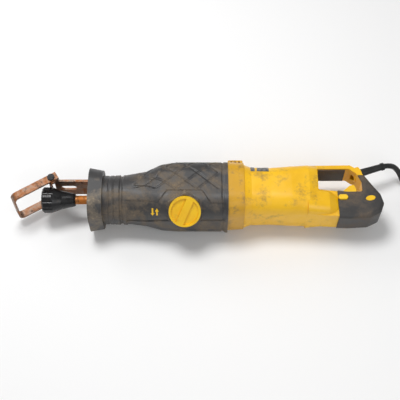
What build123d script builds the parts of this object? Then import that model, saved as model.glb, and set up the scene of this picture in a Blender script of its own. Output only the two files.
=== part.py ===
"""Reciprocating saw, lying on its left side, in millimetres.

+X runs from the blade to the rear handle, -Y is the saw's top and +Z its right side.
The floor is Z = 0. "up" below is the saw's own top, and "right" its own right side.
"""

from build123d import *
import math
import os

os.makedirs("parts", exist_ok=True)

# Where the plunger's axis runs
AXIS_Y = -2.25
AXIS_Z = 39.0

# Rubber boot and gearcase
NOSE_X = -134.5
NECK_X = -117.5
NECK_R = 30.5
BOOT_END_X = 37.5
BOOT_HALF = 39.0
BOOT_CORNER = 24.0
BOOT_UP = -3.4
BOOT_WALL = 3.2
CASE_WALL = 4.5

# Motor and its housings
RING_END_X = 57.5
HOUSING_END_X = 90.5
MOTOR_UP = -8.0
MOTOR_BODY_UP = -5.0
HOUSING_HALF = 32.2
HOUSING_CORNER = 22.0
SHELL_WALL = 2.6
SHAFT_R = 4.0
RUNNING = 0.05

# Plunger, its gear and its clamp
ROD_R = 5.5
STROKE = 28.6
GEAR_X = -25.0
GEAR_R = 30.0
GEAR_TOP_UP = -14.4
GEAR_THICK = 8.0
GEAR_TEETH = 40
PINION_TEETH = 8
YOKE_LOW_UP = -1.5
YOKE_HIGH_UP = 8.0
COLLAR_FRONT_X = -194.5
COLLAR_REAR_X = -153.5

# Shoe
PIVOT_X = -182.5
PIVOT_UP = -18.0
SHOE_TILT = 32.0
SHOE_LENGTH = 54.4
SHOE_WIDTH = 50.0
STRIP = 2.5
STRIP_DEPTH = 10.0

# Orbit dial, on the upper right shoulder
DIAL_X = -15.5
DIAL_ANGLE = 48.0
DIAL_R = 19.5
DIAL_BASE = 41.3
DIAL_FACE = 45.0

# Handle
GRIP_HALF = 15.0
RUBBER = 2.0
GRIP_START_X = 174.3

# Power cord, and the coil of its spare length
CORD_D = 7.0
CORD_ROUTE = [
    (240.0, 49.0, 36.0),
    (252.0, 54.0, 32.0),
    (263.0, 50.5, 22.0),
    (269.0, 40.5, 12.5),
    (277.0, 31.0, 6.0),
    (290.0, 25.0, 3.6),
    (307.0, 27.0, 3.6),
    (325.0, 33.0, 3.6),
]
COIL_X = 328.0
COIL_Y = -20.0
COIL_MID_R = 42.0
COIL_TURNS_ACROSS = 4
COIL_LAYERS = 2


def across(x, up=0.0):
    """The section at x. Sketch x is to the right and sketch y is up; it faces +X."""
    return Plane(origin=(x, AXIS_Y - up, AXIS_Z), x_dir=(0, 0, 1), z_dir=(1, 0, 0))


def beside(right=0.0):
    """A side view. Sketch x is +X and sketch y is up; it faces the left."""
    return Plane(origin=(0, AXIS_Y, AXIS_Z + right), x_dir=(1, 0, 0), z_dir=(0, 0, -1))


def level(up):
    """A plan view. Sketch x is +X and sketch y is to the right; it faces up."""
    return Plane(origin=(0, AXIS_Y - up, AXIS_Z), x_dir=(1, 0, 0), z_dir=(0, -1, 0))


def dial_plane(height):
    """Across the dial's axis, height from the plunger's axis, facing outwards."""
    a = math.radians(DIAL_ANGLE)
    outward = (0, -math.sin(a), math.cos(a))
    return Plane(
        origin=(DIAL_X, AXIS_Y + height * outward[1], AXIS_Z + height * outward[2]),
        x_dir=(1, 0, 0),
        z_dir=outward,
    )


def tube(x0, x1, outer, inner, up=0.0, mode=Mode.ADD):
    """A ring along X, or a rod where inner is 0."""
    with BuildSketch(across(x0, up)) as profile:
        Circle(outer)
        if inner > 0:
            Circle(inner, mode=Mode.SUBTRACT)
    extrude(profile.sketch, amount=x1 - x0, mode=mode)


def block(x0, x1, up0, up1, right0, right1, mode=Mode.ADD):
    """A square-edged block in the saw's own directions."""
    with BuildSketch(level(up0)) as plan:
        with Locations(((x0 + x1) / 2, (right0 + right1) / 2)):
            Rectangle(x1 - x0, right1 - right0)
    extrude(plan.sketch, amount=up1 - up0, mode=mode)


def lofted(sections, grow=0.0, mode=Mode.ADD):
    """A loft through rounded sections, each (x, half right, half up, corner, up)."""
    faces = []
    for x, half_right, half_up, corner, up in sections:
        with BuildSketch(across(x, up)) as section:
            RectangleRounded(
                2 * (half_right + grow), 2 * (half_up + grow), corner + grow
            )
        faces.append(section.sketch.face())
    loft(faces, ruled=True, mode=mode)


def square(x, half, corner, up):
    return (x, half, half, corner, up)


def boot_form(grow, mode=Mode.ADD):
    """The boot's outer form, or the gearcase inside it where grow is negative."""
    lofted(
        [
            square(NECK_X, NECK_R, NECK_R - 0.2, 0.0),
            square(-89.0, NECK_R + 0.6, NECK_R - 0.5, 0.0),
            square(-64.5, 33.5, 29.0, -0.8),
            square(-45.5, 37.6, 25.0, -2.6),
            square(-26.0, BOOT_HALF, BOOT_CORNER, BOOT_UP),
            square(BOOT_END_X, BOOT_HALF, BOOT_CORNER, BOOT_UP),
        ],
        grow,
        mode,
    )


# Gearcase: an aluminium casting, solid round the front bush and hollow round the gear
with BuildPart() as gearcase:
    boot_form(-BOOT_WALL)
    cavity = BOOT_HALF - BOOT_WALL - CASE_WALL
    lofted(
        [
            square(-88.0, 24.0, 21.0, 0.0),
            square(-60.0, 27.0, 21.0, -1.0),
            square(-40.0, cavity, 16.0, BOOT_UP),
            square(BOOT_END_X, cavity, 16.0, BOOT_UP),
        ],
        mode=Mode.SUBTRACT,
    )
    tube(NECK_X, -85.0, 9.0, 0, mode=Mode.SUBTRACT)
    block(NECK_X, -86.0, -21.0, -17.0, -16.5, 16.5, mode=Mode.SUBTRACT)
    for side in (-1, 1):
        for up in (-22.0, 22.0):
            with BuildSketch(across(20.0, BOOT_UP)):
                with Locations((side * 24.5, up)):
                    Circle(5.0)
            extrude(amount=13.0)
            with BuildSketch(across(24.0, BOOT_UP)):
                with Locations((side * 24.5, up)):
                    Circle(2.0)
            extrude(amount=9.0, mode=Mode.SUBTRACT)
    with BuildSketch(dial_plane(25.0)):
        Circle(7.0)
    extrude(amount=20.0, mode=Mode.SUBTRACT)
gearcase.part.label = "gearcase"
export_step(gearcase.part, "parts/gearcase.step")

# Rubber boot over the gearcase, with a round seat for the dial
with BuildPart() as rubber_boot:
    boot_form(0.0)
    with BuildSketch(dial_plane(28.0)):
        RegularPolygon(24.0, 6)
    extrude(amount=41.0 - 28.0)
    with BuildSketch(dial_plane(41.0)):
        RegularPolygon(24.0, 6)
    extrude(amount=12.0, mode=Mode.SUBTRACT)
    boot_form(-BOOT_WALL, mode=Mode.SUBTRACT)
    tube(-96.0, -93.0, 40.0, NECK_R - 1.4, mode=Mode.SUBTRACT)
    with BuildSketch(dial_plane(26.0)):
        Circle(7.2)
    extrude(amount=20.0, mode=Mode.SUBTRACT)
rubber_boot.part.label = "rubber_boot"
export_step(rubber_boot.part, "parts/rubber_boot.step")

# Nose flange: a hand stop round the plunger, slotted for the shoe's bracket
with BuildPart() as nose_flange:
    lofted([square(NOSE_X, 36.0, 25.0, 0.0), square(NECK_X, 34.0, 26.0, 0.0)])
    tube(NOSE_X, NECK_X, 12.0, 0, mode=Mode.SUBTRACT)
    block(NOSE_X, NECK_X, -21.0, -17.0, -16.5, 16.5, mode=Mode.SUBTRACT)
    with BuildSketch(across(NOSE_X)):
        Circle(27.0)
        Circle(15.0, mode=Mode.SUBTRACT)
    extrude(amount=5.0, mode=Mode.SUBTRACT)
nose_flange.part.label = "nose_flange"
export_step(nose_flange.part, "parts/nose_flange.step")

with BuildPart() as front_bush:
    tube(NECK_X + 0.5, -95.0, 9.0, ROD_R + RUNNING)
front_bush.part.label = "front_bush"
export_step(front_bush.part, "parts/front_bush.step")

with BuildPart() as plunger_seal:
    tube(NOSE_X + 6.0, NECK_X, 12.0, ROD_R + 0.1)
plunger_seal.part.label = "plunger_seal"
export_step(plunger_seal.part, "parts/plunger_seal.step")

# Plunger: a hardened rod with a yoke riveted on for the crank pin, and a guided tail
YOKE_FRONT_X = GEAR_X - 9.0
YOKE_REAR_X = GEAR_X + 9.0
with BuildPart() as plunger_rod:
    tube(COLLAR_FRONT_X + 18.0, YOKE_FRONT_X, ROD_R, 0)
    chamfer(plunger_rod.faces().sort_by(Axis.X)[-1].edges(), 0.6)
    # A flat under the rod clears the crank pin and the counterweight
    block(
        GEAR_X - 36.0, YOKE_FRONT_X + 1.0, -ROD_R - 1.0, YOKE_LOW_UP, -ROD_R, ROD_R,
        mode=Mode.SUBTRACT,
    )
plunger_rod.part.label = "plunger_rod"
export_step(plunger_rod.part, "parts/plunger_rod.step")

SLOT_HALF = STROKE / 2 + 4.3
with BuildPart() as plunger_yoke:
    block(
        YOKE_FRONT_X, YOKE_REAR_X, YOKE_LOW_UP, YOKE_HIGH_UP, -SLOT_HALF - 3, SLOT_HALF + 3
    )
    block(
        GEAR_X - 4.3, GEAR_X + 4.3, YOKE_LOW_UP, YOKE_HIGH_UP, -SLOT_HALF, SLOT_HALF,
        mode=Mode.SUBTRACT,
    )
    tube(YOKE_REAR_X, 17.0, 3.5, 0, up=4.0)
plunger_yoke.part.label = "plunger_yoke"
export_step(plunger_yoke.part, "parts/plunger_yoke.step")

with BuildPart() as rear_guide:
    block(1.0, 14.0, -0.5, 26.5, -7.0, 7.0)
    tube(1.0, 14.0, 3.5 + RUNNING, 0, up=4.0, mode=Mode.SUBTRACT)
rear_guide.part.label = "rear_guide"
export_step(rear_guide.part, "parts/rear_guide.step")

# Blade clamp: a slotted core on the rod, a torsion spring and a fluted twist collar
with BuildPart() as clamp_core:
    tube(COLLAR_FRONT_X + 1.0, COLLAR_FRONT_X + 18.0, 9.0, 0)
    block(COLLAR_FRONT_X, COLLAR_FRONT_X + 15.0, -6.5, 6.5, -0.8, 0.8, mode=Mode.SUBTRACT)
clamp_core.part.label = "clamp_core"
export_step(clamp_core.part, "parts/clamp_core.step")

with BuildPart() as clamp_spring:
    for turn in range(4):
        x = COLLAR_FRONT_X + 19.5 + turn * 2.0
        with BuildSketch(Plane(origin=(x, AXIS_Y, AXIS_Z), x_dir=(1, 0, 0), z_dir=(0, 0, 1))):
            with Locations((0, 7.0)):
                Circle(0.7)
        revolve(axis=Axis((x, AXIS_Y, AXIS_Z), (1, 0, 0)))
clamp_spring.part.label = "clamp_spring"
export_step(clamp_spring.part, "parts/clamp_spring.step")

with BuildPart() as blade_collar:
    with BuildSketch(beside()):
        with BuildLine():
            Polyline(
                (COLLAR_FRONT_X, 9.1),
                (COLLAR_FRONT_X, 14.5),
                (COLLAR_FRONT_X + 2.0, 16.3),
                (COLLAR_FRONT_X + 12.0, 16.0),
                (COLLAR_FRONT_X + 24.0, 11.5),
                (COLLAR_REAR_X - 2.0, 8.4),
                (COLLAR_REAR_X, 7.4),
                (COLLAR_REAR_X, ROD_R + RUNNING),
                (COLLAR_REAR_X - 12.0, ROD_R + RUNNING),
                (COLLAR_REAR_X - 12.0, 9.1),
                close=True,
            )
        make_face()
    revolve(axis=Axis((0, AXIS_Y, AXIS_Z), (1, 0, 0)))
    with BuildSketch(across(COLLAR_FRONT_X)):
        with PolarLocations(18.4, 10):
            Circle(3.2)
    extrude(amount=22.0, mode=Mode.SUBTRACT)
blade_collar.part.label = "blade_collar"
export_step(blade_collar.part, "parts/blade_collar.step")

# Shoe: a bent strip loop on a flat bracket that slides in the nose
EAR = (19.2, 22.2)
with BuildPart() as shoe_bracket:
    with BuildSketch(level(PIVOT_UP - 2.5)):
        with Locations((-139.0, 0)):
            Rectangle(74.0, 32.0)
        with Locations((-180.5, 0)):
            Rectangle(13.0, 2 * EAR[1])
        with Locations((-163.0, 0)):
            SlotOverall(20.0, 10.0, mode=Mode.SUBTRACT)
    extrude(amount=3.0)
    for right in (EAR[1], -EAR[0]):
        with BuildSketch(beside(right)):
            with Locations((PIVOT_X, PIVOT_UP)):
                Circle(6.5)
        extrude(amount=EAR[1] - EAR[0])
    with BuildSketch(beside(30.0)):
        with Locations((PIVOT_X, PIVOT_UP)):
            Circle(3.0)
    extrude(amount=60.0, mode=Mode.SUBTRACT)
shoe_bracket.part.label = "shoe_bracket"
export_step(shoe_bracket.part, "parts/shoe_bracket.step")

# One rivet a side, its head outside the loop's leg
with BuildPart() as shoe_pivots:
    for side in (-1, 1):
        start = EAR[0] if side > 0 else -26.9
        with BuildSketch(Plane.XY.offset(AXIS_Z + start)):
            with Locations((PIVOT_X, AXIS_Y - PIVOT_UP)):
                Circle(3.0)
        extrude(amount=26.9 - EAR[0])
        head = 25.3 if side > 0 else -26.9
        with BuildSketch(Plane.XY.offset(AXIS_Z + head)):
            with Locations((PIVOT_X, AXIS_Y - PIVOT_UP)):
                Circle(4.6)
        extrude(amount=1.6)
shoe_pivots.part.label = "shoe_pivots"
export_step(shoe_pivots.part, "parts/shoe_pivots.step")

tilt = math.radians(SHOE_TILT)
SHOE_PLANE = Plane(
    origin=(PIVOT_X, AXIS_Y - PIVOT_UP, AXIS_Z),
    x_dir=(-math.cos(tilt), -math.sin(tilt), 0),
    z_dir=(-math.sin(tilt), math.cos(tilt), 0),
)
with BuildPart() as shoe_loop:
    with BuildSketch(SHOE_PLANE.offset(-STRIP_DEPTH / 2)):
        with Locations(((SHOE_LENGTH - 8.0) / 2, 0)):
            RectangleRounded(SHOE_LENGTH + 8.0, SHOE_WIDTH, 7.5)
            RectangleRounded(
                SHOE_LENGTH + 8.0 - 2 * STRIP, SHOE_WIDTH - 2 * STRIP, 5.0, mode=Mode.SUBTRACT
            )
        with Locations((-8.0, 0)):
            Rectangle(16.0, SHOE_WIDTH + 2, mode=Mode.SUBTRACT)
        for side in (-1, 1):
            with Locations((-2.0, side * (SHOE_WIDTH - STRIP) / 2)):
                Rectangle(12.0, STRIP)
    extrude(amount=STRIP_DEPTH)
    with BuildSketch(beside(30.0)):
        with Locations((PIVOT_X, PIVOT_UP)):
            Circle(3.0 + RUNNING)
    extrude(amount=60.0, mode=Mode.SUBTRACT)
shoe_loop.part.label = "shoe_loop"
export_step(shoe_loop.part, "parts/shoe_loop.step")

# Crank gear: face teeth, a crank pin, a counterweight and a stub axle in its bush
def on_gear(up):
    """The plan view at a height, centred on the gear's axis."""
    return Plane(origin=(GEAR_X, AXIS_Y - up, AXIS_Z), x_dir=(1, 0, 0), z_dir=(0, -1, 0))


with BuildPart() as drive_gear:
    with BuildSketch(on_gear(GEAR_TOP_UP - GEAR_THICK)):
        Circle(GEAR_R)
    extrude(amount=GEAR_THICK)
    with BuildSketch(on_gear(GEAR_TOP_UP)):
        with PolarLocations((GEAR_R - 8.0 + GEAR_R) / 2, GEAR_TEETH, start_angle=180.0 / GEAR_TEETH):
            Rectangle(7.8, 1.3)
    extrude(amount=1.2)
    with BuildSketch(on_gear(GEAR_TOP_UP - GEAR_THICK - 11.4)):
        Circle(5.0)
    extrude(amount=11.4)
    with BuildSketch(on_gear(GEAR_TOP_UP)):
        with Locations((0, STROKE / 2)):
            Circle(4.0)
    extrude(amount=-5.0, mode=Mode.SUBTRACT)
drive_gear.part.label = "drive_gear"
export_step(drive_gear.part, "parts/drive_gear.step")

with BuildPart() as crank_pin:
    with BuildSketch(on_gear(GEAR_TOP_UP - 5.0)):
        with Locations((0, STROKE / 2)):
            Circle(4.0)
    extrude(amount=YOKE_LOW_UP - 0.4 - GEAR_TOP_UP + 5.0)
crank_pin.part.label = "crank_pin"
export_step(crank_pin.part, "parts/crank_pin.step")

with BuildPart() as counterweight:
    with BuildSketch(on_gear(GEAR_TOP_UP)):
        Circle(19.5)
        Circle(7.0, mode=Mode.SUBTRACT)
        with Locations((0, 12.0)):
            Rectangle(40.0, 28.0, mode=Mode.SUBTRACT)
    extrude(amount=9.0)
counterweight.part.label = "counterweight"
export_step(counterweight.part, "parts/counterweight.step")

with BuildPart() as gear_bush:
    with BuildSketch(on_gear(BOOT_UP - cavity)):
        Circle(9.0)
        Circle(5.0 + RUNNING, mode=Mode.SUBTRACT)
    extrude(amount=10.0)
gear_bush.part.label = "gear_bush"
export_step(gear_bush.part, "parts/gear_bush.step")

# Orbit dial: a knob with a raised rim and bar, on a shaft with an eccentric cam
with BuildPart() as orbit_dial:
    with BuildSketch(dial_plane(DIAL_BASE)):
        Circle(DIAL_R)
    extrude(amount=DIAL_FACE - DIAL_BASE)
    with BuildSketch(dial_plane(DIAL_FACE)):
        Circle(DIAL_R - 2.5)
        Rectangle(2 * DIAL_R, 9.0, rotation=67.0, mode=Mode.SUBTRACT)
    extrude(amount=-2.2, mode=Mode.SUBTRACT)
    with BuildSketch(dial_plane(DIAL_BASE)):
        Circle(SHAFT_R)
    extrude(amount=1.4, mode=Mode.SUBTRACT)
orbit_dial.part.label = "orbit_dial"
export_step(orbit_dial.part, "parts/orbit_dial.step")

with BuildPart() as dial_cam:
    with BuildSketch(dial_plane(28.0)):
        Circle(SHAFT_R)
    extrude(amount=DIAL_BASE + 1.4 - 28.0)
    with BuildSketch(dial_plane(28.0)):
        with Locations((1.5, 0)):
            Circle(6.0)
    extrude(amount=3.0)
dial_cam.part.label = "dial_cam"
export_step(dial_cam.part, "parts/dial_cam.step")

with BuildPart() as dial_bush:
    with BuildSketch(dial_plane(33.5)):
        Circle(7.0)
        Circle(SHAFT_R + RUNNING, mode=Mode.SUBTRACT)
    extrude(amount=7.4)
dial_bush.part.label = "dial_bush"
export_step(dial_bush.part, "parts/dial_bush.step")

# Bearing plate between gearcase and motor, with its screws and the front bearing
with BuildPart() as bearing_plate:
    lofted([square(33.2, cavity - 0.2, 15.8, BOOT_UP), square(37.4, cavity - 0.2, 15.8, BOOT_UP)])
    tube(33.0, 38.0, 11.0, 0, up=MOTOR_UP, mode=Mode.SUBTRACT)
    for side in (-1, 1):
        for up in (-22.0, 22.0):
            with BuildSketch(across(33.0, BOOT_UP)):
                with Locations((side * 24.5, up)):
                    Circle(2.0)
            extrude(amount=5.0, mode=Mode.SUBTRACT)
bearing_plate.part.label = "bearing_plate"
export_step(bearing_plate.part, "parts/bearing_plate.step")

with BuildPart() as plate_screws:
    for side in (-1, 1):
        for up in (-22.0, 22.0):
            with BuildSketch(across(24.0, BOOT_UP)):
                with Locations((side * 24.5, up)):
                    Circle(2.0)
            extrude(amount=13.4)
            with BuildSketch(across(37.4, BOOT_UP)):
                with Locations((side * 24.5, up)):
                    Circle(3.6)
                    Rectangle(4.5, 0.9, mode=Mode.SUBTRACT)
            extrude(amount=2.4)
plate_screws.part.label = "plate_screws"
export_step(plate_screws.part, "parts/plate_screws.step")

with BuildPart() as front_bearing:
    tube(33.2, 40.4, 11.0, SHAFT_R + RUNNING, up=MOTOR_UP)
front_bearing.part.label = "front_bearing"
export_step(front_bearing.part, "parts/front_bearing.step")

# Motor: armature shaft with its pinion, core, windings, commutator and fan
with BuildPart() as armature_shaft:
    tube(-4.0, 121.0, SHAFT_R, 0, up=MOTOR_UP)
armature_shaft.part.label = "armature_shaft"
export_step(armature_shaft.part, "parts/armature_shaft.step")

with BuildPart() as drive_pinion:
    tube(-4.0, 7.0, 4.6, SHAFT_R, up=MOTOR_UP)
    with BuildSketch(across(-4.0, MOTOR_UP)):
        with PolarLocations(5.1, PINION_TEETH, start_angle=-90.0):
            Rectangle(1.6, 1.4)
    extrude(amount=11.0)
drive_pinion.part.label = "drive_pinion"
export_step(drive_pinion.part, "parts/drive_pinion.step")

with BuildPart() as armature_core:
    with BuildSketch(across(60.0, MOTOR_UP)):
        Circle(19.0)
        Circle(SHAFT_R, mode=Mode.SUBTRACT)
        with PolarLocations(17.4, 12):
            Rectangle(4.4, 2.0, mode=Mode.SUBTRACT)
    extrude(amount=28.0)
armature_core.part.label = "armature_core"
export_step(armature_core.part, "parts/armature_core.step")

with BuildPart() as armature_windings:
    tube(54.6, 60.0, 15.0, SHAFT_R, up=MOTOR_UP)
    tube(88.0, 95.0, 15.0, SHAFT_R, up=MOTOR_UP)
armature_windings.part.label = "armature_windings"
export_step(armature_windings.part, "parts/armature_windings.step")

with BuildPart() as commutator:
    with BuildSketch(across(97.0, MOTOR_UP)):
        Circle(11.0)
        Circle(SHAFT_R, mode=Mode.SUBTRACT)
        with PolarLocations(10.8, 24):
            Rectangle(1.4, 0.5, mode=Mode.SUBTRACT)
    extrude(amount=13.0)
commutator.part.label = "commutator"
export_step(commutator.part, "parts/commutator.step")

with BuildPart() as cooling_fan:
    tube(43.0, 53.0, 8.0, SHAFT_R, up=MOTOR_UP)
    tube(43.0, 44.6, 23.5, 7.5, up=MOTOR_UP)
    with BuildSketch(across(44.0, MOTOR_UP)):
        with PolarLocations(15.6, 9):
            Rectangle(15.6, 1.6, rotation=12.0)
    extrude(amount=9.0)
cooling_fan.part.label = "cooling_fan"
export_step(cooling_fan.part, "parts/cooling_fan.step")

with BuildPart() as field_stator:
    with BuildSketch(across(58.5, MOTOR_UP)):
        Circle(26.0)
        Circle(19.7, mode=Mode.SUBTRACT)
        for side in (-1, 1):
            with Locations((0, side * 25.2)):
                Rectangle(16.0, 4.0, mode=Mode.SUBTRACT)
    extrude(amount=31.0)
field_stator.part.label = "field_stator"
export_step(field_stator.part, "parts/field_stator.step")

with BuildPart() as field_coils:
    tube(89.5, 94.0, 25.0, 20.0, up=MOTOR_UP)
    block(89.0, 94.5, -40.0, 30.0, -4.0, 4.0, mode=Mode.SUBTRACT)
field_coils.part.label = "field_coils"
export_step(field_coils.part, "parts/field_coils.step")

with BuildPart() as rear_bearing:
    tube(114.0, 121.0, 10.0, SHAFT_R + RUNNING, up=MOTOR_UP)
rear_bearing.part.label = "rear_bearing"
export_step(rear_bearing.part, "parts/rear_bearing.step")

with BuildPart() as rear_bearing_bracket:
    tube(114.0, 121.0, 14.0, 10.0, up=MOTOR_UP)
    block(115.0, 120.0, MOTOR_UP - 4.0, MOTOR_UP + 4.0, -27.0, -12.0)
    block(115.0, 120.0, MOTOR_UP - 4.0, MOTOR_UP + 4.0, 12.0, 27.0)
    tube(113.0, 122.0, 10.0, 0, up=MOTOR_UP, mode=Mode.SUBTRACT)
rear_bearing_bracket.part.label = "rear_bearing_bracket"
export_step(rear_bearing_bracket.part, "parts/rear_bearing_bracket.step")

BRUSH_LOW = MOTOR_UP - 3.0
BRUSH_HIGH = MOTOR_UP + 3.0
with BuildPart() as brush_holders:
    for side in (-1, 1):
        low, high = sorted((side * 13.5, side * 27.0))
        block(99.0, 108.5, BRUSH_LOW - 2.0, BRUSH_HIGH + 2.0, low, high)
        low, high = sorted((side * 13.0, side * 25.5))
        block(101.0, 106.5, BRUSH_LOW - 0.1, BRUSH_HIGH + 0.1, low, high, mode=Mode.SUBTRACT)
brush_holders.part.label = "brush_holders"
export_step(brush_holders.part, "parts/brush_holders.step")

with BuildPart() as carbon_brushes:
    for side in (-1, 1):
        low, high = sorted((side * 11.3, side * 20.0))
        block(101.2, 106.3, BRUSH_LOW, BRUSH_HIGH, low, high)
carbon_brushes.part.label = "carbon_brushes"
export_step(carbon_brushes.part, "parts/carbon_brushes.step")

with BuildPart() as brush_springs:
    for side in (-1, 1):
        low, high = sorted((side * 20.0, side * 25.5))
        block(102.4, 105.1, MOTOR_UP - 1.4, MOTOR_UP + 1.4, low, high)
brush_springs.part.label = "brush_springs"
export_step(brush_springs.part, "parts/brush_springs.step")

# Vent ring and motor housing
with BuildPart() as vent_ring:
    lofted([square(BOOT_END_X + 0.2, 38.0, 24.0, -5.4), square(RING_END_X, 37.0, 24.0, -5.4)])
    with BuildSketch(beside()):
        with Locations(((BOOT_END_X + RING_END_X) / 2, -43.6)):
            RectangleRounded(19.0, 9.0, 2.0)
    extrude(amount=17.0, both=True)
    lofted(
        [square(BOOT_END_X, 33.4, 20.0, -5.4), square(RING_END_X + 0.1, 32.0, 20.0, -5.4)],
        mode=Mode.SUBTRACT,
    )
    for k in range(3):
        with BuildSketch(beside()):
            with Locations((BOOT_END_X + 5.0 + 5.0 * k, -44.6)):
                RectangleRounded(2.6, 3.6, 0.8)
        extrude(amount=18.0, both=True, mode=Mode.SUBTRACT)
vent_ring.part.label = "vent_ring"
export_step(vent_ring.part, "parts/vent_ring.step")

with BuildPart() as motor_housing:
    lofted(
        [
            square(RING_END_X + 0.2, 35.5, 23.5, MOTOR_BODY_UP),
            square(RING_END_X + 9.0, HOUSING_HALF + 0.4, HOUSING_CORNER, MOTOR_BODY_UP),
            square(HOUSING_END_X, HOUSING_HALF, HOUSING_CORNER, MOTOR_BODY_UP),
        ]
    )
    lofted(
        [
            square(RING_END_X, 29.4, 19.4, MOTOR_BODY_UP),
            square(HOUSING_END_X + 0.1, 29.4, 19.4, MOTOR_BODY_UP),
        ],
        mode=Mode.SUBTRACT,
    )
motor_housing.part.label = "motor_housing"
export_step(motor_housing.part, "parts/motor_housing.step")

# Handle: a body behind the motor that narrows into a closed D
D_OUTLINE = [
    (130.0, 28.5),
    (187.0, 31.4),
    (212.0, 30.0),
    (225.0, 23.5),
    (229.5, 12.0),
    (226.5, 0.0),
    (218.0, -12.0),
    (211.0, -23.0),
    (205.0, -34.0),
    (193.0, -42.0),
    (130.0, -41.0),
]
OPENING = [
    (149.5, -36.6),
    (191.0, -36.8),
    (200.0, -30.0),
    (205.5, -17.0),
    (205.5, -3.0),
    (187.0, -2.4),
    (149.5, -7.4),
]
HOOP_X = 149.5


def rounded_outline(points, radius, grow=0.0):
    """A polygon with rounded corners, grown or shrunk."""
    with BuildSketch(mode=Mode.PRIVATE) as outline:
        with BuildLine():
            Polyline(*points, close=True)
        make_face()
        fillet(outline.vertices(), radius)
        if grow:
            offset(amount=grow)
    return outline.sketch


def flat(shape, half, mode=Mode.ADD):
    """Extrudes a side-view shape evenly to both sides of the saw's middle."""
    with BuildSketch(beside()) as side:
        add(shape)
    extrude(side.sketch, amount=half, both=True, mode=mode)


def handle_form(inset, mode=Mode.ADD):
    """The handle's outer form without its opening, or its hollow where inset is over 0."""
    lofted(
        [
            (HOUSING_END_X - (0 if inset == 0 else 1), 32.2, 32.2, 22.0, -5.0),
            (116.0, 32.6, 33.4, 21.0, -5.4),
            (138.0, 31.0, 34.6, 19.0, -5.8),
            (HOOP_X - inset, 26.0, 34.2, 16.0, -6.0),
        ],
        -inset,
        mode,
    )
    lofted(
        [
            (HOOP_X - 14.0, 30.0, 18.0, 12.5, 11.0),
            (HOOP_X + 13.0, 24.0, 17.0, 12.5, 12.0),
            (GRIP_START_X - 0.3 - inset, 15.6, 15.6, 11.0, 13.0),
        ],
        -inset,
        mode,
    )


def handle_halves(mode=Mode.SUBTRACT):
    """Takes the motor space, the grip's hollow and every slot out of a solid handle."""
    handle_form(SHELL_WALL, mode=mode)
    with BuildSketch(beside()) as hollow:
        add(rounded_outline(D_OUTLINE, 5.0, -SHELL_WALL))
        add(rounded_outline(OPENING, 3.0, SHELL_WALL), mode=Mode.SUBTRACT)
    extrude(hollow.sketch, amount=GRIP_HALF - SHELL_WALL, both=True, mode=mode)
    block(TRIGGER_X0 - 1.6, TRIGGER_X1 + 2.6, -12.0, 3.0, -8.7, 8.7, mode=mode)
    with BuildSketch(beside(GRIP_HALF + 5.0)) as slot:
        with Locations((BUTTON_X, BUTTON_UP)):
            SlotOverall(12.8, 7.8)
    extrude(slot.sketch, amount=12.0, mode=mode)


TRIGGER_X0 = 179.5
TRIGGER_X1 = 199.5
BUTTON_X = 180.5
BUTTON_UP = 5.5
# Each screw post of the handle: x, up, and how far it reaches to each side
SCREW_POSTS = [
    (139.0, -21.0, 28.5),
    (108.0, 19.0, 20.0),
    (108.0, -29.0, 20.0),
    (150.0, 18.0, 23.2),
    (217.0, 13.0, 12.6),
]


def boss_plane(distance):
    """Across the cord's exit from the handle, a distance along it."""
    run = (0.912, 0.409)
    return Plane(
        origin=(195.0 + distance * run[0], AXIS_Y + 33.9 + distance * run[1], AXIS_Z),
        x_dir=(0, 0, 1),
        z_dir=(run[0], run[1], 0),
    )


with BuildPart() as whole_shell:
    handle_form(0.0)
    flat(rounded_outline(D_OUTLINE, 5.0), GRIP_HALF)
    flat(rounded_outline(OPENING, 3.0), 60.0, mode=Mode.SUBTRACT)
    handle_halves()
    with BuildSketch(boss_plane(2.0)):
        Circle(8.6)
    extrude(amount=11.5)
    with BuildSketch(boss_plane(0.0)):
        Circle(6.0)
    extrude(amount=20.0, mode=Mode.SUBTRACT)
    for x, up, reach in SCREW_POSTS:
        with BuildSketch(Plane.XY.offset(AXIS_Z - reach)):
            with Locations((x, AXIS_Y - up)):
                Circle(4.9)
        extrude(amount=2 * reach)
        with BuildSketch(Plane.XY.offset(AXIS_Z - 60.0)):
            with Locations((x, AXIS_Y - up)):
                Circle(3.7)
        extrude(amount=64.0 - reach, mode=Mode.SUBTRACT)
        with BuildSketch(Plane.XY.offset(AXIS_Z - reach)):
            with Locations((x, AXIS_Y - up)):
                Circle(1.9)
        extrude(amount=2 * reach - 4.0, mode=Mode.SUBTRACT)

MIDDLE = Plane.XY.offset(AXIS_Z)
with BuildPart() as handle_shell_right:
    add(whole_shell.part)
    split(bisect_by=MIDDLE, keep=Keep.TOP)
handle_shell_right.part.label = "handle_shell_right"
export_step(handle_shell_right.part, "parts/handle_shell_right.step")

with BuildPart() as handle_shell_left:
    add(whole_shell.part)
    split(bisect_by=MIDDLE, keep=Keep.BOTTOM)
handle_shell_left.part.label = "handle_shell_left"
export_step(handle_shell_left.part, "parts/handle_shell_left.step")

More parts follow.
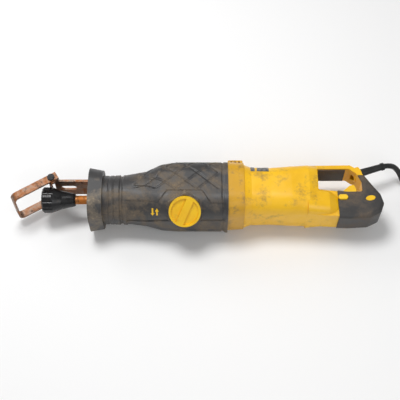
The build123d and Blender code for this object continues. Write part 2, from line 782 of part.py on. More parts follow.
# Rubber grip: a skin over the D's sides, top and rear
with BuildPart() as whole_grip:
    flat(rounded_outline(D_OUTLINE, 5.0, RUBBER), GRIP_HALF + RUBBER)
    fillet(whole_grip.edges().group_by(Axis.Z)[-1], 5.0)
    fillet(whole_grip.edges().group_by(Axis.Z)[0], 5.0)
    flat(rounded_outline(D_OUTLINE, 5.0), GRIP_HALF, mode=Mode.SUBTRACT)
    flat(rounded_outline(OPENING, 3.0), 60.0, mode=Mode.SUBTRACT)
    block(100.0, GRIP_START_X, -70.0, 60.0, -40.0, 40.0, mode=Mode.SUBTRACT)
    block(100.0, 260.0, -70.0, -26.5, -40.0, 40.0, mode=Mode.SUBTRACT)
    with BuildSketch(beside(GRIP_HALF + 5.0)):
        with Locations((BUTTON_X, BUTTON_UP)):
            SlotOverall(12.8, 7.8)
    extrude(amount=12.0, mode=Mode.SUBTRACT)
    with BuildSketch(beside(GRIP_HALF + 5.0)):
        with Locations((214.5, 6.5)):
            Ellipse(6.2, 3.6, rotation=-12.0)
    extrude(amount=5.0, mode=Mode.SUBTRACT)

with BuildPart() as grip_cover_right:
    add(whole_grip.part)
    split(bisect_by=MIDDLE, keep=Keep.TOP)
grip_cover_right.part.label = "grip_cover_right"
export_step(grip_cover_right.part, "parts/grip_cover_right.step")

with BuildPart() as grip_cover_left:
    add(whole_grip.part)
    split(bisect_by=MIDDLE, keep=Keep.BOTTOM)
grip_cover_left.part.label = "grip_cover_left"
export_step(grip_cover_left.part, "parts/grip_cover_left.step")

with BuildPart() as grip_inlay:
    with BuildSketch(beside(GRIP_HALF + RUBBER + 0.4)):
        with Locations((214.5, 6.5)):
            Ellipse(6.0, 3.4, rotation=-12.0)
    extrude(amount=RUBBER + 0.4)
grip_inlay.part.label = "grip_inlay"
export_step(grip_inlay.part, "parts/grip_inlay.step")

with BuildPart() as guard_liner:
    block(153.0, 187.0, -36.5, -35.3, -13.0, 13.0)
guard_liner.part.label = "guard_liner"
export_step(guard_liner.part, "parts/guard_liner.step")

# Trigger on its pin, the switch above it and the lock-on button
TRIGGER_PIVOT = (183.0, 2.4)
with BuildPart() as trigger:
    with BuildSketch(beside()):
        with BuildLine():
            Polyline(
                (TRIGGER_X0, -1.5),
                (TRIGGER_X0 + 4.0, -9.0),
                (TRIGGER_X0 + 12.5, -16.5),
                (TRIGGER_X1 - 2.5, -17.5),
                (TRIGGER_X1, -12.0),
                (TRIGGER_X1, -0.6),
                (TRIGGER_PIVOT[0] + 4.5, TRIGGER_PIVOT[1] + 1.5),
                (TRIGGER_PIVOT[0], TRIGGER_PIVOT[1] + 3.2),
                (TRIGGER_X0, TRIGGER_PIVOT[1] + 1.5),
                close=True,
            )
        make_face()
        with Locations(TRIGGER_PIVOT):
            Circle(1.5 + RUNNING, mode=Mode.SUBTRACT)
    extrude(amount=8.0, both=True)
trigger.part.label = "trigger"
export_step(trigger.part, "parts/trigger.step")

with BuildPart() as trigger_pin:
    with BuildSketch(beside()):
        with Locations(TRIGGER_PIVOT):
            Circle(1.5)
    extrude(amount=10.8, both=True)
trigger_pin.part.label = "trigger_pin"
export_step(trigger_pin.part, "parts/trigger_pin.step")

with BuildPart() as switch_body:
    block(176.5, 208.0, 9.0, 27.0, -8.0, 7.0)
    block(181.0, 184.0, 27.0, 28.2, -5.0, 5.0)
switch_body.part.label = "switch_body"
export_step(switch_body.part, "parts/switch_body.step")

with BuildPart() as lock_button:
    with BuildSketch(beside(GRIP_HALF + 4.2)):
        with Locations((BUTTON_X, BUTTON_UP)):
            SlotOverall(12.0, 7.0)
    extrude(amount=5.0)
    fillet(lock_button.faces().sort_by(Axis.Z)[-1].edges(), 1.0)
lock_button.part.label = "lock_button"
export_step(lock_button.part, "parts/lock_button.step")

# Screws that close the handle from the left, each in a post of the two shells
with BuildPart() as shell_screws:
    for x, up, reach in SCREW_POSTS:
        with BuildSketch(Plane.XY.offset(AXIS_Z - reach + 4.0)):
            with Locations((x, AXIS_Y - up)):
                Circle(1.9)
        extrude(amount=2 * reach - 8.0)
        with BuildSketch(Plane.XY.offset(AXIS_Z - reach + 1.4)):
            with Locations((x, AXIS_Y - up)):
                Circle(3.5)
                Rectangle(4.6, 0.9, mode=Mode.SUBTRACT)
        extrude(amount=2.6)
shell_screws.part.label = "shell_screws"
export_step(shell_screws.part, "parts/shell_screws.step")

# Latch lever under the boot's rear edge, on its pin
LATCH_X = 28.0
LATCH_UP = -46.4
with BuildPart() as latch_base:
    for side in (-1, 1):
        low, high = sorted((side * 6.6, side * 9.0))
        block(LATCH_X - 5.0, LATCH_X + 6.0, -49.0, -42.5, low, high)
    block(LATCH_X - 5.0, LATCH_X + 6.0, -42.5 - 0.9, -42.5, -9.0, 9.0)
    with BuildSketch(beside(20.0)):
        with Locations((LATCH_X, LATCH_UP)):
            Circle(1.5)
    extrude(amount=40.0, mode=Mode.SUBTRACT)
latch_base.part.label = "latch_base"
export_step(latch_base.part, "parts/latch_base.step")

with BuildPart() as latch_pin:
    with BuildSketch(beside()):
        with Locations((LATCH_X, LATCH_UP)):
            Circle(1.5)
    extrude(amount=9.0, both=True)
latch_pin.part.label = "latch_pin"
export_step(latch_pin.part, "parts/latch_pin.step")

with BuildPart() as latch_lever:
    with BuildSketch(beside()):
        with BuildLine():
            Polyline(
                (LATCH_X - 2.4, LATCH_UP + 0.9),
                (LATCH_X - 1.2, LATCH_UP + 2.4),
                (LATCH_X + 8.0, LATCH_UP + 2.4),
                (LATCH_X + 8.4, LATCH_UP - 1.0),
                (LATCH_X + 2.0, LATCH_UP - 4.6),
                (LATCH_X - 2.4, LATCH_UP - 2.6),
                close=True,
            )
        make_face()
        with Locations((LATCH_X, LATCH_UP)):
            Circle(1.5 + RUNNING, mode=Mode.SUBTRACT)
    extrude(amount=6.3, both=True)
latch_lever.part.label = "latch_lever"
export_step(latch_lever.part, "parts/latch_lever.step")

# Strain relief: a tapered sleeve from the handle to the cord, with a bead at its end
RELIEF_BASE = Vector(boss_plane(9.0).origin)
RELIEF_TIP = Vector(*CORD_ROUTE[0])
relief_run = (RELIEF_TIP - RELIEF_BASE).normalized()
with BuildPart() as strain_relief:
    with BuildSketch(Plane(origin=RELIEF_BASE, z_dir=relief_run)):
        Circle(5.1)
    with BuildSketch(Plane(origin=RELIEF_TIP - relief_run * 3.0, z_dir=relief_run)):
        Circle(4.2)
    loft()
    with BuildSketch(Plane(origin=RELIEF_TIP - relief_run * 3.0, z_dir=relief_run)):
        Circle(5.0)
    extrude(amount=3.0)
strain_relief.part.label = "strain_relief"
export_step(strain_relief.part, "parts/strain_relief.step")

# Power cord: straight runs joined by the widest tangent arcs that fit
def bend_radii(route):
    """Each corner's radius: 0.45 of its shorter run over the tangent of half its turn."""
    points = [Vector(*p) for p in route]
    radii = []
    for a, b, c in zip(points, points[1:], points[2:]):
        turn = math.radians((b - a).get_angle(c - b))
        radii.append(0.45 * min((b - a).length, (c - b).length) / math.tan(turn / 2))
    return radii


radii = bend_radii(CORD_ROUTE)
print("cord bend radii", [round(r, 1) for r in radii])
with BuildPart() as power_cord:
    with BuildLine() as route:
        FilletPolyline(*CORD_ROUTE, radius=radii)
    with BuildSketch(Plane(origin=route.line @ 0, z_dir=route.line % 0)):
        Circle(CORD_D / 2)
    sweep()
cord_length = sum(edge.length for edge in route.edges())
print("cord volume over section times length",
      power_cord.part.volume / (math.pi * CORD_D**2 / 4 * cord_length), "length", cord_length)
power_cord.part.label = "power_cord"
export_step(power_cord.part, "parts/power_cord.step")

# The coil of spare cord as one ring, a strap round it and the plug lying on it
COIL_HALF = COIL_TURNS_ACROSS * CORD_D / 2 + 0.2
COIL_TOP = COIL_LAYERS * CORD_D + 0.4
STRAP = 0.9
with BuildPart() as cord_coil:
    with BuildSketch(Plane.XY):
        with Locations((COIL_X, COIL_Y)):
            Circle(COIL_MID_R + COIL_HALF)
            Circle(COIL_MID_R - COIL_HALF, mode=Mode.SUBTRACT)
    extrude(amount=COIL_TOP)
cord_coil.part.label = "cord_coil"
export_step(cord_coil.part, "parts/cord_coil.step")

with BuildPart() as coil_tie:
    with BuildSketch(Plane.XY.offset(COIL_TOP)):
        with Locations((COIL_X, COIL_Y - COIL_MID_R)):
            Rectangle(9.0, 2 * COIL_HALF + 2 * STRAP)
    extrude(amount=STRAP)
    for side in (-1, 1):
        with BuildSketch(Plane.XY):
            with Locations((COIL_X, COIL_Y - COIL_MID_R + side * (COIL_HALF + 1.2))):
                Rectangle(9.0, STRAP + 0.6)
        extrude(amount=COIL_TOP + STRAP)
coil_tie.part.label = "coil_tie"
export_step(coil_tie.part, "parts/coil_tie.step")

PLUG_Z = COIL_TOP + 9.5
with BuildPart() as plug_body:
    with BuildSketch(Plane(origin=(COIL_X - 4.0, COIL_Y + 38.0, PLUG_Z), x_dir=(0, 1, 0), z_dir=(1, 0, 0))):
        RectangleRounded(22.0, 18.0, 6.0)
    with BuildSketch(Plane(origin=(COIL_X + 30.0, COIL_Y + 38.0, PLUG_Z), x_dir=(0, 1, 0), z_dir=(1, 0, 0))):
        RectangleRounded(25.0, 18.8, 6.0)
    loft()
    with BuildSketch(Plane(origin=(COIL_X - 4.0, COIL_Y + 38.0, PLUG_Z), z_dir=(-1, 0, 0))):
        Circle(5.6)
    extrude(amount=14.0, taper=6.0)
plug_body.part.label = "plug_body"
export_step(plug_body.part, "parts/plug_body.step")

with BuildPart() as plug_pins:
    for side in (-1, 1):
        with BuildSketch(Plane(origin=(COIL_X + 30.0, COIL_Y + 38.0 + side * 6.35, PLUG_Z), x_dir=(0, 1, 0), z_dir=(1, 0, 0))):
            Rectangle(1.5, 6.3)
        extrude(amount=17.0)
plug_pins.part.label = "plug_pins"
export_step(plug_pins.part, "parts/plug_pins.step")
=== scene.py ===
"""The reciprocating saw's looks: materials, cord, dial, boot, lights and camera."""
import math

import bmesh
import bpy
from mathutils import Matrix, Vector


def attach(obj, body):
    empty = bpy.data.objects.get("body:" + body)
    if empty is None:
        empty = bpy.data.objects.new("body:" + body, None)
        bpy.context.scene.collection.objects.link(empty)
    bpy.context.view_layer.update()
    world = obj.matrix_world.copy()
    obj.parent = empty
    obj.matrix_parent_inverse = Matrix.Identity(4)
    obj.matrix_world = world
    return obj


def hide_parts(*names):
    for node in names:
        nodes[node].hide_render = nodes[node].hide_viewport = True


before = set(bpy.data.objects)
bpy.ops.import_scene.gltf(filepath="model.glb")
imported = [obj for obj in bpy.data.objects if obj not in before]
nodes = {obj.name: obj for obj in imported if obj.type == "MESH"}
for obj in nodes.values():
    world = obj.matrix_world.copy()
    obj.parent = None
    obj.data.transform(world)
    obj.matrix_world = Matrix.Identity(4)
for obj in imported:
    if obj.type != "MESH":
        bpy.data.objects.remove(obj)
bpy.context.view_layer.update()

MM = 0.001
AXIS_Y = -2.25 * MM
AXIS_Z = 39.0 * MM

# Camera: tilt above the horizon, and distance from the point it looks at
CAMERA_TARGET = (3.0 * MM, AXIS_Y, AXIS_Z)
CAMERA_TILT = math.radians(61.0)
CAMERA_DISTANCE = 1.04

FLOOR_HALF = 4.0
WORLD_LIGHT = 0.34

# The cord, on the CAD's route, and the coil of its spare length
CORD_D = 7.0 * MM
CORD_ROUTE = [
    (240.0, 49.0, 36.0),
    (252.0, 54.0, 32.0),
    (263.0, 50.5, 22.0),
    (269.0, 40.5, 12.5),
    (277.0, 31.0, 6.0),
    (290.0, 25.0, 3.6),
    (307.0, 27.0, 3.6),
    (325.0, 33.0, 3.6),
]
COIL_CENTRE = (328.0, -20.0)
COIL_MID_R = 42.0
COIL_TURNS = 4
COIL_START = math.radians(93.0)
POINTS_PER_TURN = 16
FLOOR_LAY = 3.7


# ---------------------------------------------------------------- camera and light

def point_at(thing, target):
    direction = Vector(target) - thing.location
    thing.rotation_euler = direction.to_track_quat("-Z", "Y").to_euler()


def add_camera():
    data = bpy.data.cameras.new("camera")
    data.sensor_width = 36.0
    data.lens = 74.25
    data.clip_end = 20.0
    camera = bpy.data.objects.new("camera", data)
    bpy.context.scene.collection.objects.link(camera)
    target = Vector(CAMERA_TARGET)
    direction = Vector((0.0, -math.cos(CAMERA_TILT), math.sin(CAMERA_TILT)))
    camera.location = target + CAMERA_DISTANCE * direction
    point_at(camera, target)
    bpy.context.scene.camera = camera


def add_area(name, place, size, power, target=(0.0, 0.0, 0.03)):
    data = bpy.data.lights.new(name, "AREA")
    data.shape = "DISK"
    data.size = size
    data.energy = power
    light = bpy.data.objects.new(name, data)
    bpy.context.scene.collection.objects.link(light)
    light.location = place
    point_at(light, target)


def add_stage():
    mesh = bpy.data.meshes.new("floor")
    corners = ((-1, -1), (1, -1), (1, 1), (-1, 1))
    mesh.from_pydata(
        [(x * FLOOR_HALF, y * FLOOR_HALF, 0) for x, y in corners],
        [],
        [(0, 1, 2, 3)],
    )
    floor = bpy.data.objects.new("floor", mesh)
    bpy.context.scene.collection.objects.link(floor)
    material = bpy.data.materials.new("floor_paper")
    material.use_nodes = True
    shader = material.node_tree.nodes["Principled BSDF"]
    shader.inputs["Base Color"].default_value = (0.88, 0.88, 0.88, 1)
    shader.inputs["Roughness"].default_value = 0.9
    mesh.materials.append(material)
    world = bpy.data.worlds.new("studio")
    world.use_nodes = True
    background = world.node_tree.nodes["Background"]
    background.inputs["Color"].default_value = (1.0, 1.0, 1.0, 1)
    background.inputs["Strength"].default_value = WORLD_LIGHT
    bpy.context.scene.world = world
    bpy.context.scene.view_settings.view_transform = "Standard"
    add_area("key", (-0.25, 0.25, 1.3), 0.5, 11.5)
    add_area("fill", (0.7, -0.9, 0.9), 0.9, 4.5)
    add_area("rim", (-0.8, 0.6, 0.7), 0.6, 2.5)


# ---------------------------------------------------------------- materials

class Look:
    """Builds one procedural material, node by node."""

    def __init__(self, name, roughness=0.5, metallic=0.0):
        self.material = bpy.data.materials.new(name)
        self.material.use_nodes = True
        self.tree = self.material.node_tree
        self.shader = self.tree.nodes["Principled BSDF"]
        self.shader.inputs["Roughness"].default_value = roughness
        self.shader.inputs["Metallic"].default_value = metallic
        self.place = self.tree.nodes.new("ShaderNodeTexCoord").outputs["Object"]

    def link(self, a, b):
        self.tree.links.new(a, b)

    def noise(self, scale, detail=4.0, rough=0.55, stretch=None, distort=0.0):
        node = self.tree.nodes.new("ShaderNodeTexNoise")
        node.inputs["Scale"].default_value = scale
        node.inputs["Detail"].default_value = detail
        node.inputs["Roughness"].default_value = rough
        node.inputs["Distortion"].default_value = distort
        self.link(self.stretched(stretch), node.inputs["Vector"])
        return node.outputs["Fac"]

    def stretched(self, stretch):
        if stretch is None:
            return self.place
        mapping = self.tree.nodes.new("ShaderNodeMapping")
        mapping.inputs["Scale"].default_value = stretch
        self.link(self.place, mapping.inputs["Vector"])
        return mapping.outputs["Vector"]

    def between(self, value, low, high, out_low=0.0, out_high=1.0):
        node = self.tree.nodes.new("ShaderNodeMapRange")
        node.inputs["From Min"].default_value = low
        node.inputs["From Max"].default_value = high
        node.inputs["To Min"].default_value = out_low
        node.inputs["To Max"].default_value = out_high
        self.link(value, node.inputs["Value"])
        return node.outputs["Result"]

    def math(self, kind, a, b):
        node = self.tree.nodes.new("ShaderNodeMath")
        node.operation = kind
        for value, socket in ((a, node.inputs[0]), (b, node.inputs[1])):
            if isinstance(value, (int, float)):
                socket.default_value = value
            else:
                self.link(value, socket)
        return node.outputs[0]

    def edges(self, low=0.51, high=0.6):
        geometry = self.tree.nodes.new("ShaderNodeNewGeometry")
        return self.between(geometry.outputs["Pointiness"], low, high)

    def mix(self, base, colour, amount):
        node = self.tree.nodes.new("ShaderNodeMix")
        node.data_type = "RGBA"
        for value, socket in ((base, node.inputs[6]), (colour, node.inputs[7])):
            if isinstance(value, tuple):
                socket.default_value = (*value, 1.0)
            else:
                self.link(value, socket)
        self.link(amount, node.inputs[0])
        return node.outputs[2]

    def colour(self, value):
        self.link(value, self.shader.inputs["Base Color"])

    def roughness(self, value):
        self.link(value, self.shader.inputs["Roughness"])

    def bump(self, height, strength, distance=0.0005):
        node = self.tree.nodes.new("ShaderNodeBump")
        node.inputs["Strength"].default_value = strength
        node.inputs["Distance"].default_value = distance
        self.link(height, node.inputs["Height"])
        self.link(node.outputs["Normal"], self.shader.inputs["Normal"])


def yellow_plastic(name, base=(0.88, 0.50, 0.006), dark=(0.62, 0.30, 0.006), dirt=0.6):
    look = Look(name, 0.38)
    tone = look.mix(base, dark, look.between(look.noise(28.0, 3.0), 0.42, 0.75, 0.0, 0.45))
    grime = look.between(look.noise(46.0, 9.0, 0.72), 0.53, 0.68, 0.0, dirt)
    tone = look.mix(tone, (0.16, 0.11, 0.055), grime)
    scratch = look.between(
        look.noise(60.0, 6.0, 0.7, stretch=(1.0, 9.0, 9.0)), 0.66, 0.74, 0.0, 0.55
    )
    tone = look.mix(tone, (0.93, 0.72, 0.34), scratch)
    look.colour(tone)
    look.roughness(look.between(look.noise(90.0, 4.0), 0.3, 0.7, 0.3, 0.52))
    look.bump(look.noise(1400.0, 2.0), 0.12, 0.0002)
    look.shader.inputs["Coat Weight"].default_value = 0.15
    look.shader.inputs["Coat Roughness"].default_value = 0.3
    return look.material


def dusty_rubber(
    name, base=(0.030, 0.030, 0.033), dust=(0.26, 0.19, 0.115), amount=0.75, worn=0.0
):
    look = Look(name, 0.6)
    tone = look.mix(base, (0.055, 0.052, 0.05), look.noise(40.0, 4.0))
    patches = look.between(look.noise(24.0, 8.0, 0.66, distort=0.4), 0.46, 0.64)
    grains = look.between(look.noise(420.0, 5.0, 0.7), 0.35, 0.7, 0.35, 1.0)
    dusting = look.math("MULTIPLY", look.math("MULTIPLY", patches, grains), amount)
    tone = look.mix(tone, dust, dusting)
    if worn:
        rubbed = look.between(look.edges(0.54, 0.66), 0, 1, 0, worn)
        tone = look.mix(tone, (0.42, 0.34, 0.24), rubbed)
    look.colour(tone)
    look.roughness(look.between(dusting, 0.0, 0.6, 0.42, 0.85))
    look.bump(look.noise(900.0, 3.0), 0.25, 0.0003)
    return look.material


def rusty_metal(name, base=(0.23, 0.17, 0.135), rust=(0.36, 0.13, 0.035), amount=0.9):
    look = Look(name, 0.45, 0.75)
    patches = look.between(look.noise(85.0, 9.0, 0.7, distort=0.6), 0.40, 0.62, 0.0, amount)
    tone = look.mix(base, rust, patches)
    tone = look.mix(tone, (0.055, 0.03, 0.02), look.between(look.noise(210.0, 6.0), 0.55, 0.7))
    look.colour(tone)
    look.roughness(look.between(patches, 0.0, 1.0, 0.3, 0.75))
    look.bump(look.noise(520.0, 7.0, 0.7), 0.35, 0.0004)
    return look.material


def worn_steel(name, base=(0.55, 0.54, 0.52), roughness=0.3):
    look = Look(name, roughness, 1.0)
    lines = look.noise(70.0, 5.0, 0.6, stretch=(1.0, 14.0, 14.0))
    look.colour(look.mix(base, (0.3, 0.27, 0.24), look.between(lines, 0.4, 0.75)))
    look.roughness(look.between(lines, 0.3, 0.7, roughness - 0.08, roughness + 0.2))
    look.bump(look.noise(800.0, 4.0), 0.1, 0.0002)
    return look.material


def black_gloss(name):
    look = Look(name, 0.22, 0.35)
    specks = look.between(look.noise(110.0, 8.0, 0.7), 0.6, 0.74, 0.0, 0.7)
    tone = look.mix((0.012, 0.012, 0.013), (0.10, 0.065, 0.04), specks)
    look.colour(tone)
    look.roughness(look.between(look.noise(140.0, 5.0), 0.35, 0.7, 0.16, 0.45))
    look.bump(look.noise(600.0, 4.0), 0.12, 0.0003)
    return look.material


def plain(name, base, other, roughness, scale=120.0, bump=0.15):
    look = Look(name, roughness)
    look.colour(look.mix(base, other, look.between(look.noise(scale, 5.0), 0.35, 0.7)))
    patches = look.noise(scale * 1.7, 4.0)
    look.roughness(look.between(patches, 0.3, 0.7, roughness - 0.1, roughness + 0.12))
    look.bump(look.noise(scale * 8.0, 3.0), bump, 0.0002)
    return look.material


YELLOW = yellow_plastic("yellow_shell")
OCHRE = yellow_plastic("yellow_ring", (0.62, 0.33, 0.012), (0.4, 0.2, 0.012), 0.85)
BRIGHT = yellow_plastic("yellow_trim", (0.9, 0.56, 0.01), (0.75, 0.33, 0.01), 0.35)
BOOT = dusty_rubber("boot_rubber", (0.020, 0.020, 0.023), amount=0.9, worn=0.5)
NOSE = dusty_rubber("nose_rubber", dust=(0.42, 0.33, 0.22), amount=0.95)
GRIP = dusty_rubber("grip_rubber", (0.022, 0.021, 0.021), (0.21, 0.14, 0.08), 0.6)
RUST = rusty_metal("rusty_steel")
ORANGE_RUST = rusty_metal("orange_rust", (0.3, 0.14, 0.06), (0.55, 0.2, 0.04), 1.0)
STEEL = worn_steel("worn_steel")
CASTING = worn_steel("casting", (0.42, 0.42, 0.41), 0.5)
COPPER = worn_steel("copper", (0.62, 0.28, 0.14), 0.35)
BRONZE = worn_steel("bronze", (0.55, 0.38, 0.18), 0.4)
CLAMP = black_gloss("clamp_black")
DARK = plain("dark_plastic", (0.014, 0.014, 0.015), (0.035, 0.032, 0.03), 0.45)
CARBON = plain("carbon", (0.02, 0.02, 0.02), (0.05, 0.05, 0.05), 0.6)
SHEATH = plain("cord_sheath", (0.012, 0.012, 0.012), (0.03, 0.03, 0.03), 0.42, 60.0, 0.1)
LABEL = plain("rating_plate", (0.05, 0.05, 0.052), (0.22, 0.21, 0.19), 0.4, 260.0)

LOOKS = {
    "gearcase": CASTING, "bearing_plate": CASTING,
    "rubber_boot": BOOT, "nose_flange": NOSE, "plunger_seal": DARK,
    "front_bush": BRONZE, "rear_guide": BRONZE, "gear_bush": BRONZE, "dial_bush": BRONZE,
    "brush_holders": BRONZE, "field_coils": COPPER, "armature_windings": COPPER,
    "commutator": COPPER, "carbon_brushes": CARBON, "cooling_fan": DARK,
    "rear_bearing_bracket": DARK, "switch_body": DARK, "latch_lever": DARK,
    "vent_ring": OCHRE, "motor_housing": YELLOW,
    "handle_shell_right": YELLOW, "handle_shell_left": YELLOW,
    "grip_cover_right": GRIP, "grip_cover_left": GRIP, "guard_liner": GRIP,
    "grip_inlay": BRIGHT, "orbit_dial": BRIGHT, "trigger": BRIGHT, "lock_button": BRIGHT,
    "latch_base": RUST, "shoe_bracket": RUST, "shoe_loop": RUST,
    "plunger_rod": ORANGE_RUST, "clamp_core": CLAMP, "blade_collar": CLAMP,
    "shoe_pivots": CLAMP,
    "strain_relief": SHEATH, "coil_tie": DARK,
}


def dress_nodes():
    for name, node in nodes.items():
        node.data.materials.clear()
        node.data.materials.append(LOOKS.get(name, STEEL))


# ---------------------------------------------------------------- meshes

def new_piece(name, mesh_maker, material, body, smooth=40.0):
    """A piece from a bmesh, shaded smooth under an angle, riding on a body."""
    bm = bmesh.new()
    mesh_maker(bm)
    bmesh.ops.recalc_face_normals(bm, faces=bm.faces)
    mesh = bpy.data.meshes.new(name)
    bm.to_mesh(mesh)
    bm.free()
    mesh.materials.append(material)
    mesh.shade_smooth()
    mesh.set_sharp_from_angle(angle=math.radians(smooth))
    piece = bpy.data.objects.new(name, mesh)
    bpy.context.scene.collection.objects.link(piece)
    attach(piece, body)
    return piece


def sleeve(bm, rings):
    """Joins rings of points, each a closed loop, into one closed skin: the last meets the first."""
    rows = [[bm.verts.new(p) for p in ring] for ring in rings]
    count = len(rows[0])
    for a, b in zip(rows, rows[1:] + rows[:1]):
        for i in range(count):
            j = (i + 1) % count
            bm.faces.new((a[i], a[j], b[j], b[i]))


# ---------------------------------------------------------------- cord

def coil_points():
    """The coil's turns: inwards on the floor, then outwards on top, a diameter apart."""
    points = []
    d = CORD_D / MM
    outer = COIL_MID_R + (COIL_TURNS - 1) / 2 * d
    inner = outer - (COIL_TURNS - 1) * d
    steps = COIL_TURNS * POINTS_PER_TURN
    for layer in range(2):
        for k in range(steps - 2 * layer):
            share = k / steps
            if layer == 0:
                radius = outer + (inner - outer) * share
            else:
                radius = inner + (outer - inner) * share
            angle = COIL_START - 2 * math.pi * (layer * COIL_TURNS + COIL_TURNS * share)
            rise = min(1.0, k / 5.0) if layer else 0.0
            height = FLOOR_LAY + rise * (d + 0.1)
            points.append(
                (
                    COIL_CENTRE[0] + radius * math.cos(angle),
                    COIL_CENTRE[1] + radius * math.sin(angle),
                    height,
                )
            )
    return points


def add_cord():
    ending = [(296.0, 10.0, 18.0), (303.0, 17.0, 22.5), (312.5, 18.0, 23.9)]
    route = CORD_ROUTE + coil_points()[1:] + ending
    curve = bpy.data.curves.new("mains_lead", "CURVE")
    curve.dimensions = "3D"
    curve.bevel_depth = CORD_D / 2
    curve.bevel_resolution = 6
    curve.resolution_u = 8
    curve.use_fill_caps = True
    spline = curve.splines.new("NURBS")
    spline.points.add(len(route) - 1)
    for point, place in zip(spline.points, route):
        point.co = (*(c * MM for c in place), 1.0)
    spline.order_u = 3
    spline.use_endpoint_u = True
    curve.materials.append(SHEATH)
    cord = bpy.data.objects.new("mains_lead", curve)
    bpy.context.scene.collection.objects.link(cord)
    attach(cord, "frame")
    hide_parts("power_cord", "cord_coil")


# ---------------------------------------------------------------- rubber boot

# x, half width, corner radius, centre above the plunger's axis, in millimetres
BOOT_SECTIONS = [
    (-117.5, 30.4, 30.2, 0.0),
    (-89.0, 31.0, 30.0, 0.0),
    (-64.5, 33.4, 29.0, -0.8),
    (-45.5, 37.5, 25.0, -2.6),
    (-26.0, 38.9, 24.0, -3.4),
    (37.5, 38.9, 24.0, -3.4),
]
BOOT_FRONT_X = BOOT_SECTIONS[0][0]
BOOT_LONG = 155.0
BOOT_COLUMNS = 200
BOOT_WALL = 3.1
LATTICE_PITCH = 23.0
DIAL_X = -15.5
DIAL_ANGLE = math.radians(48.0)
SEAT_R = 41.0


def boot_section(x):
    """The boot's half width, corner radius and centre at x, smoothly between its sections."""
    for a, b in zip(BOOT_SECTIONS, BOOT_SECTIONS[1:]):
        if x <= b[0]:
            share = min(max((x - a[0]) / (b[0] - a[0]), 0.0), 1.0)
            return tuple(p + (q - p) * share for p, q in zip(a[1:], b[1:]))
    return BOOT_SECTIONS[-1][1:]


def around(count=340, half=39.0, corner=24.0):
    """Samples round a rounded square: (flat right, flat up, angle, arc from the side's middle)."""
    flat = half - corner
    quarter = corner * math.pi / 2
    total = 8 * flat + 4 * quarter
    samples = []
    for k in range(count):
        q = k / count * total
        turn, along = divmod(q, 2 * flat + quarter)
        turn = int(turn)
        if along < flat:
            fx, fy, a = 1.0, along / flat, 0.0
        elif along < flat + quarter:
            fx, fy, a = 1.0, 1.0, (along - flat) / corner
        else:
            fx, fy, a = 1.0 - (along - flat - quarter) / flat, 1.0, math.pi / 2
        for _ in range(turn):
            fx, fy, a = -fy, fx, a + math.pi / 2
        side = q if q <= total / 4 else total / 2 - q if q <= 3 * total / 4 else q - total
        samples.append((fx, fy, a, side))
    return samples


def step(value, width=1.0):
    """0 to 1 as value passes 0, over a width."""
    t = min(max(value / width + 0.5, 0.0), 1.0)
    return t * t * (3 - 2 * t)


def panel_edge(x):
    """How far from the side's middle the lower panel starts, at x."""
    if x < -48.0:
        return 27.3
    if x < -37.0:
        return 27.3 - 16.5 * (x + 48.0) / 11.0
    if x < 5.5:
        return 10.8
    if x < 16.0:
        return 10.8 + 17.2 * (x - 5.5) / 10.5
    return 28.0


def relief(x, q):
    """The boot's moulded relief, in millimetres inwards, at x and arc q from the side's middle."""
    inside = step(q - panel_edge(x), 1.4) * step(57.0 - q, 1.4)
    inside *= step(x + 88.0, 2.0) * step(34.0 - x, 2.0)
    depth = 1.3 * inside
    lattice = step(x + 78.0, 6.0) * step(26.0 - x, 3.0)
    lattice = lattice * step(8.5 - q, 2.0) * step(q + 46.0, 4.0)
    for slant in (1.0, -1.0):
        line = (x * 0.86 + slant * (q + 14.0)) / LATTICE_PITCH
        near = abs(line - round(line)) * LATTICE_PITCH
        depth += 0.85 * lattice * (1.0 - step(near - 1.5, 1.5))
    depth += 1.5 * step(x + 96.4, 0.8) * step(-92.8 - x, 0.8)
    for x0 in (-110.0, -104.0):
        depth += 0.7 * (1.0 - step(abs(x - x0) - 0.9, 0.8))
    depth += 0.9 * (1.0 - step(abs(x - 31.0) - 1.1, 0.9))
    belly = step(-q - 46.0, 2.0) * step(x + 45.0, 3.0) * step(22.0 - x, 3.0)
    comb = abs((x / 9.0) - round(x / 9.0)) * 9.0
    depth += 0.8 * belly * (1.0 - step(comb - 1.6, 1.4))
    return depth


def boot_point(x, sample, inwards):
    """Right and up of the boot's skin at x and a sample, moved inwards."""
    half, corner, up = boot_section(x)
    fx, fy, a, _ = sample
    flat = half - corner
    radius = corner - inwards
    right = flat * fx + radius * math.cos(a)
    high = up + flat * fy + radius * math.sin(a)
    return right, high


def placed(x, right, high):
    """The scene's point for millimetres along, right of and above the plunger's axis."""
    return Vector((x * MM, AXIS_Y - high * MM, AXIS_Z + right * MM))


def add_boot():
    samples = around()
    n_right, n_up = math.cos(DIAL_ANGLE), math.sin(DIAL_ANGLE)

    def make(bm):
        rings = []
        for k in range(BOOT_COLUMNS + 1):
            x = BOOT_FRONT_X + BOOT_LONG * k / BOOT_COLUMNS
            ring = []
            for sample in samples:
                right, high = boot_point(x, sample, relief(x, sample[3]))
                out = right * n_right + high * n_up
                across = high * n_right - right * n_up
                flat = math.hypot(x - DIAL_X, across)
                if flat < 23.0 and out > SEAT_R - 0.5:
                    drop = (out - SEAT_R + 0.5) * step(22.4 - flat, 1.6)
                    right -= drop * n_right
                    high -= drop * n_up
                ring.append(placed(x, right, high))
            rings.append(ring)
        for x in (37.5, 20.0, -26.0, -45.5, -64.5, -89.0, BOOT_FRONT_X):
            rings.append([placed(x, *boot_point(x, sample, BOOT_WALL)) for sample in samples])
        sleeve(bm, rings)

    boot = new_piece("boot_skin", make, BOOT, "frame", 35.0)
    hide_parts("rubber_boot")


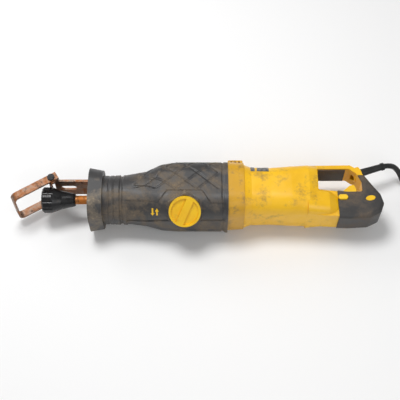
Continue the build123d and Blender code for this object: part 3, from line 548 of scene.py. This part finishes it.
def add_dial_seat():
    """The raised six-sided seat round the dial, with notched top corners."""
    out = Vector((0.0, -math.sin(DIAL_ANGLE), math.cos(DIAL_ANGLE)))
    side = Vector((1.0, 0.0, 0.0))
    over = out.cross(side)
    centre = Vector((DIAL_X * MM, AXIS_Y, AXIS_Z))

    def ring(radius, height, round_off):
        points = []
        for k in range(96):
            a = 2 * math.pi * k / 96
            part = (a + math.pi / 6) % (math.pi / 3) - math.pi / 6
            hexagon = radius * math.cos(math.pi / 6) / math.cos(part)
            notch = 0.0
            for place in (math.radians(62), math.radians(118)):
                near = abs((a - place + math.pi) % (2 * math.pi) - math.pi)
                notch = max(notch, 1.0 - near / 0.10)
            reach = hexagon * (1 - round_off) + radius * 0.93 * round_off - 2.4 * notch
            points.append(
                centre + (side * math.cos(a) - over * math.sin(a)) * reach * MM + out * height * MM
            )
        return points

    def make(bm):
        rings = [
            ring(23.9, 30.0, 0.1),
            ring(23.9, 39.9, 0.1),
            ring(23.4, 40.7, 0.15),
            ring(22.8, 41.0, 0.2),
            ring(21.4, 41.0, 0.6),
            ring(21.0, 40.6, 0.8),
            ring(20.8, 30.0, 1.0),
        ]
        sleeve(bm, rings)

    new_piece("dial_seat", make, BOOT, "frame", 35.0)


def on_boot(x, q, lift):
    """The point on the boot's lit shoulder at x and arc q, lifted outwards."""
    sample = min(around(), key=lambda s: abs(s[3] - q) + (0 if s[0] > 0 else 1000))
    return placed(x, *boot_point(x, sample, relief(x, q) - lift))


def add_arrows():
    """Two small raised arrows, one each way, beside the dial."""
    outline = [
        (-4.6, -1.0), (1.2, -1.0), (1.2, -2.4), (4.8, 0.0), (1.2, 2.4), (1.2, 1.0), (-4.6, 1.0),
    ]

    def make(bm):
        for shift_x, shift_q, way in ((-55.0, 40.0, 1.0), (-49.5, 40.0, -1.0)):
            low = []
            high = []
            for a, b in outline:
                x = shift_x + b
                q = shift_q + way * a
                low.append(bm.verts.new(on_boot(x, q, -0.6)))
                high.append(bm.verts.new(on_boot(x, q, 0.35)))
            bm.faces.new(high)
            bm.faces.new(low[::-1])
            for i in range(len(outline)):
                j = (i + 1) % len(outline)
                bm.faces.new((low[i], low[j], high[j], high[i]))

    new_piece("arrow_marks", make, BRIGHT, "frame", 20.0)


def add_label():
    """A plain dark rating plate on the housing's lower shoulder."""
    half, corner, up = 32.3, 22.0, -5.0
    flat = half - corner

    def make(bm):
        columns, rows = 16, 10
        sheets = []
        for lift in (-0.5, 0.25):
            sheet = []
            for i in range(columns + 1):
                x = 63.5 + 25.0 * i / columns
                line = []
                for j in range(rows + 1):
                    a = -math.radians(22.0 + 44.0 * j / rows)
                    reach = corner + lift + (0.45 if x < 70 else 0.0)
                    right = flat + reach * math.cos(a)
                    high = up - flat + reach * math.sin(a)
                    line.append(bm.verts.new(placed(x, right, high)))
                sheet.append(line)
            sheets.append(sheet)
        low, high = sheets
        for sheet in sheets:
            for i in range(columns):
                for j in range(rows):
                    near, far = sheet[i], sheet[i + 1]
                    bm.faces.new((near[j], far[j], far[j + 1], near[j + 1]))
        rim = [(i, 0) for i in range(columns)] + [(columns, j) for j in range(rows)]
        rim += [(i, rows) for i in range(columns, 0, -1)] + [(0, j) for j in range(rows, 0, -1)]
        for a, b in zip(rim, rim[1:] + rim[:1]):
            bm.faces.new((low[a[0]][a[1]], low[b[0]][b[1]], high[b[0]][b[1]], high[a[0]][a[1]]))

    new_piece("rating_plate", make, LABEL, "frame", 30.0)


add_camera()
add_stage()
dress_nodes()
add_cord()
add_boot()
add_dial_seat()
add_arrows()
add_label()
